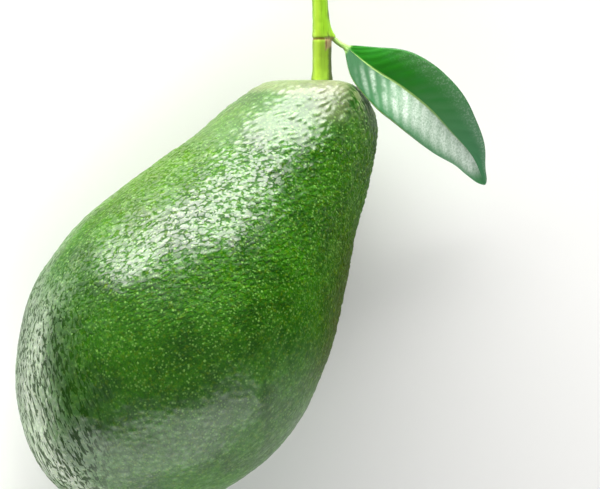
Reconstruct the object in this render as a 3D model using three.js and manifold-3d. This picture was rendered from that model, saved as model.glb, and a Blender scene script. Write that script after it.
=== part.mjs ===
// A picked avocado lying on its side, with its green stalk and one leaf still on it.
// Millimetres, +Z up. The origin is the middle of the small flat spot that the fruit rests on.
// +X runs along the fruit towards its neck, and the leaf reaches out on the -Y side.

import * as THREE from "three";
import { mergeVertices } from "three/addons/utils/BufferGeometryUtils.js";
import Module from "manifold-3d";

const wasm = await Module();
wasm.setup();

// The fruit's outline: distances along its axis from the blossom end, and its radii there.
const FRUIT = {
  length: 121.5,
  bellyAt: 44,
  bellyRadius: 34.9,
  neckAt: 89,
  neckRadius: 22.8,
  shoulderAt: 104,
  shoulderRadius: 17.8,
  taper: 0.35, // radius lost along each millimetre of the neck
  blossomFullness: 0.47, // 0.55 would round the blossom end like an ellipse
  bellyFullness: 0.53,
  bellyHold: 0.38, // shares of the stretch from belly to neck
  neckDraw: 0.32,
  shoulderRun: 0.4,
  shoulderRound: 0.6,
  crownFullness: 0.64,
  crownShift: 0.9, // the crown end sits this far to one side
  crownShiftAt: 109,
  crownShiftSpan: 19,
};
// How the fruit lies: the neck tips down until the weight is over the flat spot.
const REST = { tilt: 14, flatDepth: 0.55 };
// The neck ends in a slanting crown, square to the stalk, dented where the stalk stands.
const CROWN = {
  turn: 33.85,
  reach: 97.7,
  softness: 2.6,
  dentDepth: 1.3,
  dentRadius: 5.5,
  leafSideFall: 1.5, // the crown's rim is lower under the leaf
  fallStart: 3,
  fallEnd: 13,
  fadeStart: -25,
  fadeEnd: -10,
};
// Low lumps of the leathery skin, and the pucker that the flower left.
const SKIN = { lumpHeight: 0.12, lumpSize: 11, waves: 7, puckerDepth: 0.9, puckerRadius: 3, calmHeight: 7 };
// The stalk: an older growth, a ring, and a younger growth that leans a little away from the leaf.
const STALK = {
  footAlong: 114,
  footAcross: 5.25,
  rootDepth: 2.7,
  socketGap: 0.3,
  footRadius: 2.6,
  lowerRadius: 2.24,
  upperRadius: 1.86,
  ringAt: 9.9,
  ringDepth: 0.16,
  length: 25,
  lean: 0.055,
  lift: 0.05,
  cutSlant: 0.16,
  pithRadius: 0.55,
};
const LEAF = {
  bladeThickness: 0.7,
  outerRise: 0.42, // how far the outer margin stands above the midrib, to its half width
  innerRise: 0.74,
  arch: 0.16,
  wave: 0.3,
  waveCount: 2.5,
  waveSkew: 0.3,
  tipStart: 0.965, // the tip is rounded from this share of the midrib on
  tipRounding: 0.97,
  petioleRadius: 0.69,
  midribTipRadius: 0.24,
  midribSink: 0.42,
};
const DETAIL = {
  fruitAround: 72,
  fruitAlong: 50,
  stalkAround: 24,
  cushionAround: 14,
  cushionAlong: 8,
  bladeAlong: 30,
  bladeAcross: 12,
  bladeCrowding: 0.6, // rows of the blade lie closer together at its two ends
  ribAround: 10,
  ribAlong: 32,
};

// The sprig's own frame has its origin at the stalk's foot, with y along the stalk.
const MIDRIB = curveThrough([
  [5.7, 7.95, 1.9],
  [11.95, 2.95, 5.6],
  [18.6, -1.35, 6.4],
  [24.9, -6.25, 4.8],
  [30.4, -12.0, 1.3],
  [35.6, -17.9, -3.4],
  [38.7, -24.6, -8.6],
]);
// Half the blade's width seen from above, at even steps along the midrib.
const OUTER_HALF = widthsAlong([0.6, 3.9, 6.6, 8.15, 8.65, 8.45, 7.85, 6.5, 4.5, 1.9, 0.7]);
const INNER_HALF = widthsAlong([0.7, 4.5, 6.4, 7.7, 7.95, 7.95, 7.4, 6.3, 4.85, 3.5, 0.9]);
// The cushion runs out of the younger growth and carries the leaf's own stalk.
const CUSHION = curveThrough([
  [0.2, 16.8, 0.85],
  [0.75, 14.2, 0.72],
  [1.4, 12.0, 0.62],
  [2.2, 10.55, 0.55],
  [2.75, 9.98, 0.55],
]);
const CUSHION_RADII = { start: 1.2, end: 0.8 };
// The leaf's own stalk comes out of the cushion and goes on as the midrib under the blade.
const PETIOLE_POINTS = [
  [2.98, 9.75, 0.55],
  [3.7, 9.1, 0.66],
  [4.7, 8.4, 1.0],
];
const RIB_SHARES = [0.04, 0.14, 0.28, 0.42, 0.56, 0.7, 0.84, 0.94];

const tilt = THREE.MathUtils.degToRad(REST.tilt);
const turn = THREE.MathUtils.degToRad(CROWN.turn);
const stalkwards = new THREE.Vector3(Math.cos(turn), Math.sin(turn), 0);
const leafwards = new THREE.Vector3(Math.sin(turn), -Math.cos(turn), 0);

const outline = fruitOutline();
const blossomEnd = blossomEndOver(outline);
const stalkFoot = new THREE.Vector3(
  blossomEnd.x + STALK.footAlong,
  STALK.footAcross,
  blossomEnd.z - Math.tan(tilt) * STALK.footAlong,
);

function curveThrough(points) {
  const places = points.map((p) => new THREE.Vector3(...p));
  return new THREE.CatmullRomCurve3(places, false, "catmullrom", 0.5);
}

function widthsAlong(widths) {
  return new THREE.SplineCurve(widths.map((w, i) => new THREE.Vector2(i / (widths.length - 1), w)));
}

// Closed meshes become solids for joining and cutting, and come back as geometry.
function solidOf(geometry) {
  const bare = geometry.clone();
  bare.deleteAttribute("normal");
  bare.deleteAttribute("uv");
  const merged = mergeVertices(bare, 1e-4);
  return new wasm.Manifold(
    new wasm.Mesh({
      numProp: 3,
      vertProperties: merged.attributes.position.array,
      triVerts: new Uint32Array(merged.index.array),
    }),
  );
}

function geometryOf(solid) {
  const mesh = solid.getMesh();
  const geometry = new THREE.BufferGeometry();
  geometry.setAttribute("position", new THREE.BufferAttribute(mesh.vertProperties, 3));
  geometry.setIndex(new THREE.BufferAttribute(mesh.triVerts, 1));
  geometry.computeVertexNormals();
  return geometry;
}

// The fruit's outline from the blossom end to the crown: x along the axis, y the radius.
function fruitOutline() {
  const f = FRUIT;
  const path = new THREE.Path();
  path.moveTo(0, 0);
  const blossomRadius = f.blossomFullness * f.bellyRadius;
  const bellyStart = f.bellyAt * (1 - f.bellyFullness);
  path.bezierCurveTo(0, blossomRadius, bellyStart, f.bellyRadius, f.bellyAt, f.bellyRadius);

  const hold = (f.neckAt - f.bellyAt) * f.bellyHold;
  const draw = (f.neckAt - f.bellyAt) * f.neckDraw;
  const intoNeck = [f.neckAt - draw, f.neckRadius + draw * f.taper];
  path.bezierCurveTo(f.bellyAt + hold, f.bellyRadius, ...intoNeck, f.neckAt, f.neckRadius);

  const run = (f.shoulderAt - f.neckAt) * f.shoulderRun;
  const alongNeck = [f.neckAt + run, f.neckRadius - run * f.taper];
  const intoShoulder = [f.shoulderAt - run, f.shoulderRadius + run * f.taper];
  path.bezierCurveTo(...alongNeck, ...intoShoulder, f.shoulderAt, f.shoulderRadius);

  const round = (f.length - f.shoulderAt) * f.shoulderRound;
  const overShoulder = [f.shoulderAt + round, f.shoulderRadius - round * f.taper];
  path.bezierCurveTo(...overShoulder, f.length, f.shoulderRadius * f.crownFullness, f.length, 0);

  const points = path.getSpacedPoints(DETAIL.fruitAlong);
  points[0].set(0, 0);
  points[points.length - 1].set(f.length, 0);
  return points;
}

// Where the blossom end goes, so that the lowest place is a little under the origin.
function blossomEndOver(points) {
  let lowest = new THREE.Vector3();
  for (const p of points) {
    const z = -p.x * Math.sin(tilt) - p.y * Math.cos(tilt);
    if (z < lowest.z) lowest = new THREE.Vector3(p.x * Math.cos(tilt) - p.y * Math.sin(tilt), 0, z);
  }
  return new THREE.Vector3(-lowest.x, 0, -lowest.z - REST.flatDepth);
}

// Low lumps, from waves in directions spread evenly over a sphere.
function lumpHeight(p) {
  const goldenAngle = Math.PI * (3 - Math.sqrt(5));
  let sum = 0;
  for (let i = 0; i < SKIN.waves; i++) {
    const up = 1 - (2 * i + 1) / SKIN.waves;
    const level = Math.sqrt(1 - up * up);
    const heading = i * goldenAngle;
    const along = level * (p.x * Math.cos(heading) + p.y * Math.sin(heading)) + up * p.z;
    const size = SKIN.lumpSize * (1 + 0.13 * i);
    sum += Math.sin((2 * Math.PI * along) / size + 1.7 * i * i);
  }
  return (SKIN.lumpHeight * sum) / Math.sqrt(SKIN.waves / 2);
}

// Heights over the crown's plane bend over smoothly until they lie in it.
function levelled(height) {
  const band = CROWN.softness;
  if (height <= -band) return height;
  if (height >= band) return 0;
  return height - (height + band) ** 2 / (4 * band);
}

function shapeCrown(point) {
  const height = point.clone().sub(blossomEnd).dot(stalkwards) - CROWN.reach;
  point.addScaledVector(stalkwards, levelled(height) - height);
  const aside = point.clone().sub(stalkFoot);
  const ahead = aside.dot(stalkwards);
  aside.addScaledVector(stalkwards, -ahead);
  const dent = Math.exp(-((aside.length() / CROWN.dentRadius) ** 2));
  const fall = THREE.MathUtils.smoothstep(aside.dot(leafwards), CROWN.fallStart, CROWN.fallEnd);
  const drop = CROWN.dentDepth * dent + CROWN.leafSideFall * fall;
  const near = THREE.MathUtils.smoothstep(ahead, CROWN.fadeStart, CROWN.fadeEnd);
  point.addScaledVector(stalkwards, -drop * near);
}

function makeFruit() {
  const profile = outline.map((p) => new THREE.Vector2(p.y, p.x));
  const lathe = new THREE.LatheGeometry(profile, DETAIL.fruitAround);
  lathe.rotateZ(-Math.PI / 2);
  lathe.deleteAttribute("normal");
  lathe.deleteAttribute("uv");
  const body = mergeVertices(lathe, 1e-4);
  body.computeVertexNormals();
  const place = new THREE.Matrix4().makeRotationY(tilt).setPosition(blossomEnd);
  const point = new THREE.Vector3();
  const outward = new THREE.Vector3();
  const { position, normal } = body.attributes;
  for (let i = 0; i < position.count; i++) {
    point.fromBufferAttribute(position, i);
    outward.fromBufferAttribute(normal, i).transformDirection(place);
    const fromAxis = Math.hypot(point.y, point.z);
    const along = point.x;
    if (along < FRUIT.bellyAt) {
      point.x += SKIN.puckerDepth * Math.exp(-((fromAxis / SKIN.puckerRadius) ** 2));
    }
    const shift = (along - FRUIT.crownShiftAt) / FRUIT.crownShiftSpan;
    point.y += FRUIT.crownShift * Math.exp(-(shift ** 2));
    point.applyMatrix4(place);
    const calm = THREE.MathUtils.smoothstep(point.z, 0, SKIN.calmHeight);
    point.addScaledVector(outward, lumpHeight(point) * calm);
    shapeCrown(point);
    position.setXYZ(i, point.x, point.y, point.z);
  }

  const cutter = 10;
  const under = new THREE.BoxGeometry(FRUIT.length, FRUIT.length, cutter);
  under.translate(0, 0, -cutter / 2);
  const socketRadius = STALK.lowerRadius + STALK.socketGap;
  const socketDepth = CROWN.dentDepth + STALK.rootDepth + STALK.socketGap;
  const socket = new THREE.CylinderGeometry(socketRadius, socketRadius, cutter, DETAIL.stalkAround);
  socket.translate(0, cutter / 2 - socketDepth, 0);
  socket.applyMatrix4(sprig.matrix);
  const solid = solidOf(body).subtract(solidOf(under)).subtract(solidOf(socket));
  return new THREE.Mesh(
    geometryOf(solid),
    new THREE.MeshStandardMaterial({ name: "skin", color: "#3f7d1e", roughness: 0.42, metalness: 0 }),
  );
}

// A cylinder bent along a curve, with its radius given at each share of its length.
function bentTube(curve, radiusAt, around, steps) {
  const tube = new THREE.CylinderGeometry(1, 1, 1, around, steps);
  const frames = curve.computeFrenetFrames(steps, false);
  const centres = curve.getSpacedPoints(steps);
  const { position } = tube.attributes;
  for (let i = 0; i < position.count; i++) {
    const share = position.getY(i) + 0.5;
    const step = Math.round(share * steps);
    const radius = radiusAt(share);
    const point = centres[step].clone();
    point.addScaledVector(frames.normals[step], position.getX(i) * radius);
    point.addScaledVector(frames.binormals[step], -position.getZ(i) * radius);
    position.setXYZ(i, point.x, point.y, point.z);
  }
  return tube;
}

function makeStalk() {
  const s = STALK;
  const foot = -CROWN.dentDepth;
  const profile = [
    [0, foot - s.rootDepth],
    [s.lowerRadius, foot - s.rootDepth],
    [s.lowerRadius, foot + 0.7],
    [s.footRadius, foot + 1.2],
    [s.footRadius - 0.08, foot + 2],
    [s.lowerRadius + 0.08, foot + 3.4],
    [s.lowerRadius, 5.5],
    [s.lowerRadius + 0.07, s.ringAt - 0.5],
    [s.lowerRadius - s.ringDepth, s.ringAt],
    [s.lowerRadius + 0.08, s.ringAt + 0.5],
    [s.lowerRadius - 0.06, s.ringAt + 2],
    [s.upperRadius + 0.16, s.ringAt + 4.5],
    [s.upperRadius + 0.03, s.ringAt + 8],
    [s.upperRadius, s.length - 0.3],
    [s.upperRadius - 0.25, s.length],
    [s.pithRadius, s.length],
    [s.pithRadius - 0.1, s.length - 0.25],
    [0, s.length - 0.25],
  ].map((p) => new THREE.Vector2(...p));
  const shoot = new THREE.LatheGeometry(profile, DETAIL.stalkAround);
  const { position } = shoot.attributes;
  for (let i = 0; i < position.count; i++) {
    const y = position.getY(i);
    const x = position.getX(i);
    const cutShift = y > s.length - 1 ? s.cutSlant * x : 0;
    const lean = s.lean * Math.max(0, y - s.ringAt);
    position.setXYZ(i, x - lean, y + cutShift, position.getZ(i) + s.lift * Math.max(0, y));
  }
  const radiusAt = (share) => THREE.MathUtils.lerp(CUSHION_RADII.start, CUSHION_RADII.end, share);
  const cushion = bentTube(CUSHION, radiusAt, DETAIL.cushionAround, DETAIL.cushionAlong);
  return new THREE.Mesh(
    geometryOf(solidOf(shoot).add(solidOf(cushion))),
    new THREE.MeshStandardMaterial({ name: "green stalk", color: "#8fbf2c", roughness: 0.5, metalness: 0 }),
  );
}

function halfWidth(share, side) {
  const widths = side > 0 ? OUTER_HALF : INNER_HALF;
  const past = Math.max(0, (share - LEAF.tipStart) / (1 - LEAF.tipStart));
  return widths.getPoint(share).y * Math.sqrt(1 - LEAF.tipRounding * past * past);
}

// A point of the blade's upper face: share along the midrib, and side from -1 (inner) to 1 (outer).
function bladePoint(share, side) {
  const point = MIDRIB.getPoint(share);
  const heading = MIDRIB.getTangent(share).setZ(0).normalize();
  const outwards = new THREE.Vector3(-heading.y, heading.x, 0);
  const half = halfWidth(share, side);
  const away = Math.abs(side);
  const rise = (side > 0 ? LEAF.outerRise : LEAF.innerRise) * away - LEAF.arch * away * away;
  const phase = 2 * Math.PI * (LEAF.waveCount * share + LEAF.waveSkew * side);
  const wave = LEAF.wave * away * away * Math.sin(phase) * Math.sin(Math.PI * share);
  point.addScaledVector(outwards, side * half);
  point.z += half * rise + wave;
  return point;
}

function bladeNormal(share, side) {
  const step = 0.01;
  const back = Math.max(0, share - step);
  const ahead = Math.min(1, share + step);
  const inner = Math.max(-1, side - step);
  const outer = Math.min(1, side + step);
  const along = bladePoint(ahead, side).sub(bladePoint(back, side));
  const across = bladePoint(share, outer).sub(bladePoint(share, inner));
  return along.cross(across).normalize();
}

function shareOfRow(t) {
  return t - (DETAIL.bladeCrowding * Math.sin(2 * Math.PI * t)) / (2 * Math.PI);
}

// The blade's two faces have the same triangles, and a rim closes them.
function bladeGeometry() {
  const rows = DETAIL.bladeAlong;
  const columns = DETAIL.bladeAcross;
  const perFace = (rows + 1) * (columns + 1);
  const positions = [];
  for (const depth of [0, LEAF.bladeThickness]) {
    for (let i = 0; i <= rows; i++) {
      for (let j = 0; j <= columns; j++) {
        const share = shareOfRow(i / rows);
        const side = (2 * j) / columns - 1;
        const point = bladePoint(share, side).addScaledVector(bladeNormal(share, side), -depth);
        positions.push(point.x, point.y, point.z);
      }
    }
  }
  const at = (i, j, face) => face * perFace + i * (columns + 1) + j;
  const index = [];
  for (let i = 0; i < rows; i++) {
    for (let j = 0; j < columns; j++) {
      index.push(at(i, j, 0), at(i + 1, j, 0), at(i + 1, j + 1, 0));
      index.push(at(i, j, 0), at(i + 1, j + 1, 0), at(i, j + 1, 0));
      index.push(at(i, j, 1), at(i + 1, j + 1, 1), at(i + 1, j, 1));
      index.push(at(i, j, 1), at(i, j + 1, 1), at(i + 1, j + 1, 1));
    }
  }
  const rim = [];
  for (let j = 0; j < columns; j++) rim.push([0, j]);
  for (let i = 0; i < rows; i++) rim.push([i, columns]);
  for (let j = columns; j > 0; j--) rim.push([rows, j]);
  for (let i = rows; i > 0; i--) rim.push([i, 0]);
  rim.forEach(([i, j], k) => {
    const [m, n] = rim[(k + 1) % rim.length];
    index.push(at(i, j, 0), at(m, n, 0), at(m, n, 1));
    index.push(at(i, j, 0), at(m, n, 1), at(i, j, 1));
  });
  const geometry = new THREE.BufferGeometry();
  geometry.setAttribute("position", new THREE.Float32BufferAttribute(positions, 3));
  geometry.setIndex(index);
  return geometry;
}

function makeLeaf() {
  const ribPoints = PETIOLE_POINTS.map((p) => new THREE.Vector3(...p));
  for (const share of RIB_SHARES) {
    const point = MIDRIB.getPoint(share);
    point.z -= LEAF.midribSink;
    ribPoints.push(point);
  }
  const radiusAt = (share) => THREE.MathUtils.lerp(LEAF.petioleRadius, LEAF.midribTipRadius, share);
  const ribCurve = new THREE.CatmullRomCurve3(ribPoints);
  const rib = bentTube(ribCurve, radiusAt, DETAIL.ribAround, DETAIL.ribAlong);
  return new THREE.Mesh(
    geometryOf(solidOf(bladeGeometry()).add(solidOf(rib))),
    new THREE.MeshStandardMaterial({ name: "leaf", color: "#1f7a2c", roughness: 0.45, metalness: 0 }),
  );
}

const sprig = new THREE.Group();
sprig.position.copy(stalkFoot);
sprig.rotation.z = turn - Math.PI / 2;
sprig.updateMatrix();

const fruit = makeFruit();
fruit.name = "fruit";
const stalk = makeStalk();
stalk.name = "stalk";
const leaf = makeLeaf();
leaf.name = "leaf";
sprig.add(stalk, leaf);

const avocado = new THREE.Group();
avocado.name = "avocado";
avocado.add(fruit, sprig);

export default avocado;
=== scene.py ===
"""Builds the looks of a whole avocado that lies on its side, with its green stalk and one leaf."""

import math

import bmesh
import bpy
from mathutils import Matrix, Vector, noise


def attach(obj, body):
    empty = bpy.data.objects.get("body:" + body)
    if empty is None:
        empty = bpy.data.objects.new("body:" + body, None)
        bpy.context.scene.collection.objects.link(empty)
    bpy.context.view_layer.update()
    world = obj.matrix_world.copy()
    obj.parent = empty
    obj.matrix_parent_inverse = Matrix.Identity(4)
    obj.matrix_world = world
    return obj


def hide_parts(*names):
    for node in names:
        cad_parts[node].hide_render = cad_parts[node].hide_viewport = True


bl_info = {
    "name": "Avocado with stalk and leaf",
    "version": (1, 0, 0),
    "blender": (4, 5, 0),
    "location": "3D View > Sidebar > Avocado",
    "description": "Builds a whole avocado on its side, with its stalk, one leaf and a pale studio",
    "category": "Add Mesh",
}

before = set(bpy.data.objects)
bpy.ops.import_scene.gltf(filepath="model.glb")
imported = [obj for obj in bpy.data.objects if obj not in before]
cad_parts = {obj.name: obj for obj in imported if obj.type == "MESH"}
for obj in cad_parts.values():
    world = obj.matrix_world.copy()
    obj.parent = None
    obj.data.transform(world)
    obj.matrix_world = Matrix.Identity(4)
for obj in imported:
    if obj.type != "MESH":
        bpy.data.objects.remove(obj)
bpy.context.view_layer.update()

MM = 0.001

# Outline of the fruit, in millimetres: distances along its axis from the blossom end, and radii
LENGTH = 121.5
BELLY_AT, BELLY_RADIUS = 44.0, 34.9
NECK_AT, NECK_RADIUS = 89.0, 22.8
SHOULDER_AT, SHOULDER_RADIUS = 104.0, 17.8
TAPER = 0.35
BLOSSOM_FULLNESS, BELLY_FULLNESS = 0.47, 0.53
BELLY_HOLD, NECK_DRAW = 0.38, 0.32
SHOULDER_RUN, SHOULDER_ROUND = 0.4, 0.6
CROWN_FULLNESS = 0.64
CROWN_SHIFT, CROWN_SHIFT_AT, CROWN_SHIFT_SPAN = 0.9, 109.0, 19.0

# How the fruit lies, and the slanting crown that the stalk stands on
TILT = math.radians(14.0)
BLOSSOM_END = Vector((-51.468, 0.0, 45.886))
CROWN_TURN = math.radians(33.85)
CROWN_REACH, CROWN_SOFTNESS = 97.7, 2.6
DENT_DEPTH, DENT_RADIUS = 1.3, 5.5
FALL_DEPTH, FALL_START, FALL_END = 1.5, 3.0, 13.0
FADE_START, FADE_END = -25.0, -10.0
LUMP_HEIGHT, LUMP_SIZE, LUMP_WAVES, CALM_HEIGHT = 0.12, 11.0, 7, 7.0
PUCKER_DEPTH, PUCKER_RADIUS = 0.9, 3.0

# The stalk's foot is on the axis, this far from the blossom end as seen from above, and moved across it
FOOT_ALONG, FOOT_ACROSS = 114.0, 5.25

AXIS = Vector((math.cos(TILT), 0.0, -math.sin(TILT)))
STALKWARDS = Vector((math.cos(CROWN_TURN), math.sin(CROWN_TURN), 0.0))
LEAFWARDS = Vector((math.sin(CROWN_TURN), -math.cos(CROWN_TURN), 0.0))
UP = Vector((0.0, 0.0, 1.0))


def smoothstep(value, low, high):
    """Rises softly from 0 at low to 1 at high."""
    share = min(1.0, max(0.0, (value - low) / (high - low)))
    return share * share * (3.0 - 2.0 * share)


def bezier(points, share):
    """A point on the cubic curve through the first and last of four points."""
    a, b, c, d = points
    rest = 1.0 - share
    return a * rest ** 3 + b * (3 * rest * rest * share) + c * (3 * rest * share * share) + d * share ** 3


def spline(points, share):
    """A point on the smooth curve through points that stand at even shares."""
    last = len(points) - 1
    place = min(max(share, 0.0), 1.0) * last
    index = min(int(place), last - 1)
    step = place - index
    before = points[index - 1] if index > 0 else points[0] * 2 - points[1]
    after = points[index + 2] if index + 2 <= last else points[last] * 2 - points[last - 1]
    a, b = points[index], points[index + 1]
    return (a * 2 + (b - before) * step + (before * 2 - a * 5 + b * 4 - after) * step ** 2
            + (a * 3 - before - b * 3 + after) * step ** 3) / 2


def evenly(line, count):
    """The points that cut a line of points into count even steps."""
    lengths = [0.0]
    for a, b in zip(line, line[1:]):
        lengths.append(lengths[-1] + (b - a).length)
    made, index = [], 0
    for step in range(count + 1):
        wanted = lengths[-1] * step / count
        while index < len(line) - 2 and lengths[index + 1] < wanted:
            index += 1
        run = lengths[index + 1] - lengths[index]
        made.append(line[index].lerp(line[index + 1], (wanted - lengths[index]) / run))
    return made


def fruit_outline():
    """The fruit's half outline, from the blossom end to the crown, as many close points."""
    hold = (NECK_AT - BELLY_AT) * BELLY_HOLD
    draw = (NECK_AT - BELLY_AT) * NECK_DRAW
    run = (SHOULDER_AT - NECK_AT) * SHOULDER_RUN
    end = (LENGTH - SHOULDER_AT) * SHOULDER_ROUND
    bends = [
        [(0, 0), (0, BELLY_RADIUS * BLOSSOM_FULLNESS),
         (BELLY_AT * (1 - BELLY_FULLNESS), BELLY_RADIUS), (BELLY_AT, BELLY_RADIUS)],
        [(BELLY_AT, BELLY_RADIUS), (BELLY_AT + hold, BELLY_RADIUS),
         (NECK_AT - draw, NECK_RADIUS + draw * TAPER), (NECK_AT, NECK_RADIUS)],
        [(NECK_AT, NECK_RADIUS), (NECK_AT + run, NECK_RADIUS - run * TAPER),
         (SHOULDER_AT - run, SHOULDER_RADIUS + run * TAPER), (SHOULDER_AT, SHOULDER_RADIUS)],
        [(SHOULDER_AT, SHOULDER_RADIUS), (SHOULDER_AT + end, SHOULDER_RADIUS - end * TAPER),
         (LENGTH, SHOULDER_RADIUS * CROWN_FULLNESS), (LENGTH, 0)],
    ]
    line = []
    for bend in bends:
        points = [Vector((x, 0.0, r)) for x, r in bend]
        line += [bezier(points, step / 80) for step in range(80)]
    return line + [Vector((LENGTH, 0.0, 0.0))]


OUTLINE = fruit_outline()
STALK_FOOT = BLOSSOM_END + Vector((FOOT_ALONG, FOOT_ACROSS, -FOOT_ALONG * math.tan(TILT)))


def lumps(point):
    """The fruit's broad, low unevenness, from a few waves that cross each other."""
    total = 0.0
    for wave in range(LUMP_WAVES):
        up = 1.0 - (2.0 * wave + 1.0) / LUMP_WAVES
        level = math.sqrt(1.0 - up * up)
        heading = wave * math.pi * (3.0 - math.sqrt(5.0))
        along = level * (point.x * math.cos(heading) + point.y * math.sin(heading)) + up * point.z
        size = LUMP_SIZE * (1.0 + 0.13 * wave)
        total += math.sin(2.0 * math.pi * along / size + 1.7 * wave * wave)
    return LUMP_HEIGHT * total / math.sqrt(LUMP_WAVES / 2.0)


def crown(point):
    """Levels the crown square to the stalk, with a dent round the stalk and a fall below the leaf."""
    over = (point - BLOSSOM_END).dot(STALKWARDS) - CROWN_REACH
    if over >= CROWN_SOFTNESS:
        level = 0.0
    elif over > -CROWN_SOFTNESS:
        level = over - (over + CROWN_SOFTNESS) ** 2 / (4.0 * CROWN_SOFTNESS)
    else:
        level = over
    point = point + STALKWARDS * (level - over)
    aside = point - STALK_FOOT
    ahead = aside.dot(STALKWARDS)
    aside = aside - STALKWARDS * ahead
    dent = DENT_DEPTH * math.exp(-(aside.length / DENT_RADIUS) ** 2)
    fall = FALL_DEPTH * smoothstep(aside.dot(LEAFWARDS), FALL_START, FALL_END)
    return point - STALKWARDS * ((dent + fall) * smoothstep(ahead, FADE_START, FADE_END))


# Pebbles are longer along the wrinkles, which run slantwise round the neck
WRINKLE = Vector((0.79, -0.58, -0.20)).normalized()
PEBBLE_LONG, PEBBLE_SHORT = 2.7, 1.6


def pebbles(point):
    """0 in the grooves between the skin's pebbles, 1 on top of them."""
    along = point.dot(WRINKLE)
    place = (point - WRINKLE * along) / PEBBLE_SHORT + WRINKLE * (along / PEBBLE_LONG)
    place += noise.noise_vector(point / 4.0) * 0.55
    near = noise.voronoi(place)[0]
    return smoothstep(near[1] - near[0], 0.0, 0.55)


def mesh_object(name, bm, material, node):
    """Turns a mesh in millimetres into a finished piece that stands for a CAD node."""
    bmesh.ops.scale(bm, vec=(MM, MM, MM), verts=bm.verts)
    mesh = bpy.data.meshes.new(name)
    bm.to_mesh(mesh)
    bm.free()
    mesh.polygons.foreach_set("use_smooth", [True] * len(mesh.polygons))
    mesh.materials.append(material)
    piece = bpy.data.objects.new(name, mesh)
    bpy.context.scene.collection.objects.link(piece)
    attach(piece, "root")
    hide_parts(node)
    return piece


class Term:
    """A number that changes over a surface. Sums and products of terms add Math nodes."""

    def __init__(self, finish, socket):
        self.finish = finish
        self.socket = socket

    def math(self, operation, *values):
        return self.finish.node("ShaderNodeMath", {"operation": operation}, dict(enumerate(values)))

    def __add__(self, other):
        return self.math("ADD", self, other)

    def __sub__(self, other):
        return self.math("SUBTRACT", self, other)

    def __rsub__(self, other):
        return self.math("SUBTRACT", other, self)

    def __mul__(self, other):
        return self.math("MULTIPLY", self, other)

    def __truediv__(self, other):
        return self.math("DIVIDE", self, other)

    def __pow__(self, other):
        return self.math("POWER", self, other)

    __radd__ = __add__
    __rmul__ = __mul__

    def step(self, low, high):
        """Rises softly from 0 where the number is low to 1 where it is high."""
        return self.finish.node("ShaderNodeMapRange", {"interpolation_type": "SMOOTHSTEP"},
                                {"Value": self, "From Min": low, "From Max": high})


class Finish:
    """A material that is put together from nodes, round one Principled shader."""

    def __init__(self, name, **constants):
        self.material = bpy.data.materials.new(name)
        self.material.use_nodes = True
        self.tree = self.material.node_tree
        self.shader = self.tree.nodes["Principled BSDF"]
        for socket, value in constants.items():
            self.shader.inputs[socket.replace("_", " ")].default_value = value

    def node(self, kind, settings=None, sockets=None, output=0):
        """Adds a node, with its settings first and then the values or links of its sockets."""
        made = self.tree.nodes.new(kind)
        for name, value in (settings or {}).items():
            setattr(made, name, value)
        for name, value in (sockets or {}).items():
            self.feed(made.inputs[name], value)
        return Term(self, made.outputs[output])

    def feed(self, socket, value):
        """Links a term to a socket, or sets the socket's own value."""
        if isinstance(value, Term):
            self.tree.links.new(value.socket, socket)
        else:
            socket.default_value = value

    def surface(self, **sockets):
        """Feeds the shader's sockets that change over the surface."""
        for name, value in sockets.items():
            self.feed(self.shader.inputs[name.replace("_", " ")], value)
        return self.material

    def place(self):
        """Object coordinates."""
        return self.node("ShaderNodeTexCoord", output="Object")

    def parts(self, place):
        """The three coordinates of a place in millimetres."""
        split = self.tree.nodes.new("ShaderNodeSeparateXYZ")
        self.feed(split.inputs[0], place)
        return [Term(self, output) * 1000.0 for output in split.outputs]

    def along(self, place, start, direction):
        """The distance in millimetres from start, measured along a direction."""
        away = self.node("ShaderNodeVectorMath", {"operation": "SUBTRACT"},
                         {0: place, 1: tuple(start * MM)})
        return self.node("ShaderNodeVectorMath", {"operation": "DOT_PRODUCT"},
                         {0: away, 1: tuple(direction)}, "Value") * 1000.0

    def space(self, place, size, turn=(0.0, 0.0, 0.0)):
        """Room for a pattern, with cells of that size in millimetres, turned by those angles."""
        return self.node("ShaderNodeMapping", {"vector_type": "TEXTURE"},
                         {"Vector": place, "Scale": tuple(side * MM for side in size), "Rotation": turn})

    def distance(self, place, start):
        """The distance from start in millimetres."""
        return self.node("ShaderNodeVectorMath", {"operation": "DISTANCE"},
                         {0: place, 1: tuple(start * MM)}, "Value") * 1000.0

    def noise(self, place, size, detail=2.0, roughness=0.5, distortion=0.0):
        """Soft noise about 0.5, with blotches of that size in millimetres."""
        return self.node("ShaderNodeTexNoise", None, {
            "Vector": self.space(place, (size, size, size)), "Scale": 1.0, "Detail": detail,
            "Roughness": roughness, "Distortion": distortion})

    def mix(self, share, first, second):
        """A colour between two colours."""
        mixer = self.tree.nodes.new("ShaderNodeMix")
        mixer.data_type = "RGBA"
        colours = [socket for socket in mixer.inputs if socket.type == "RGBA"]
        self.feed(mixer.inputs[0], share)
        self.feed(colours[0], first)
        self.feed(colours[1], second)
        return Term(self, next(socket for socket in mixer.outputs if socket.type == "RGBA"))

    def attribute(self, name):
        """A number that the piece's mesh carries at each of its points."""
        return self.node("ShaderNodeAttribute", {"attribute_name": name}, output="Fac")

    def bump(self, height, distance, normal=None):
        """Relief too fine for the mesh, with its height in millimetres."""
        sockets = {"Height": height, "Distance": distance * MM, "Strength": 1.0}
        if normal is not None:
            sockets["Normal"] = normal
        return self.node("ShaderNodeBump", None, sockets)


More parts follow.
